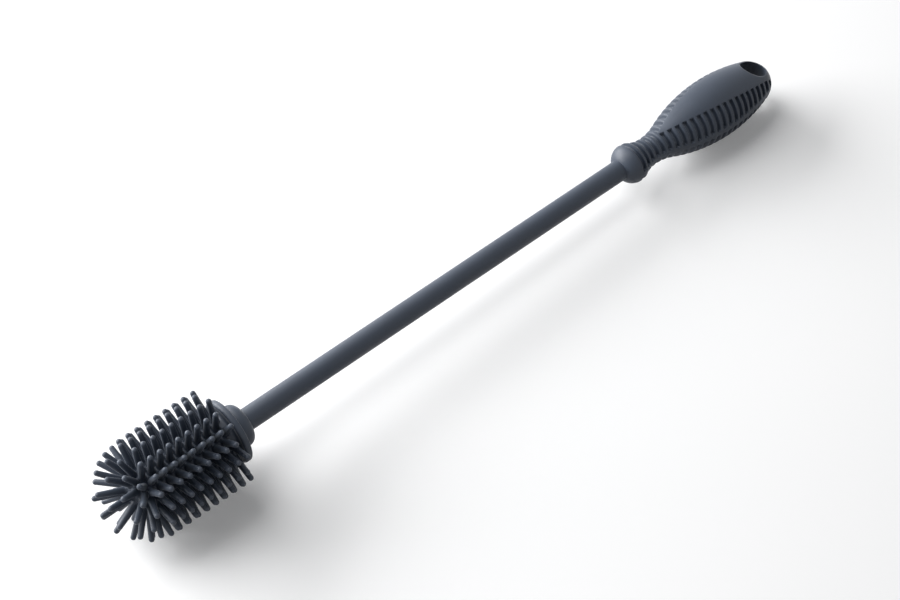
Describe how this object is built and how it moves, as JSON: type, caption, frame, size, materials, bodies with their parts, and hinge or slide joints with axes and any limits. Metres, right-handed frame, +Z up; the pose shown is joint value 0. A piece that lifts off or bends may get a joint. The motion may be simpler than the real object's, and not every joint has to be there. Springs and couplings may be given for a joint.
{
  "type": "bottle brush",
  "caption": "Long-handled silicone bottle brush: a head of staggered finger bristles with a round nose and flange, a straight shaft, and a ribbed grip with a hang hole.",
  "frame": {"origin": "on the worktop, under the middle of the brush as it lies on its side", "axes": "+Z up from the worktop, +X along the brush from the nose of the head to the butt of the grip, +Y across it"},
  "size_m": [0.3832, 0.0452, 0.0458],
  "materials": {
    "silicone": "matte",
    "nylon": "matte",
    "steel": "drawn"
  },
  "bodies": {
    "root": {"brush_head": "silicone", "rear_collar": "silicone", "shaft_sleeve": "silicone", "grip": "silicone", "head_core": "nylon", "grip_core": "nylon", "core_rod": "steel"}
  },
  "joints": []
}
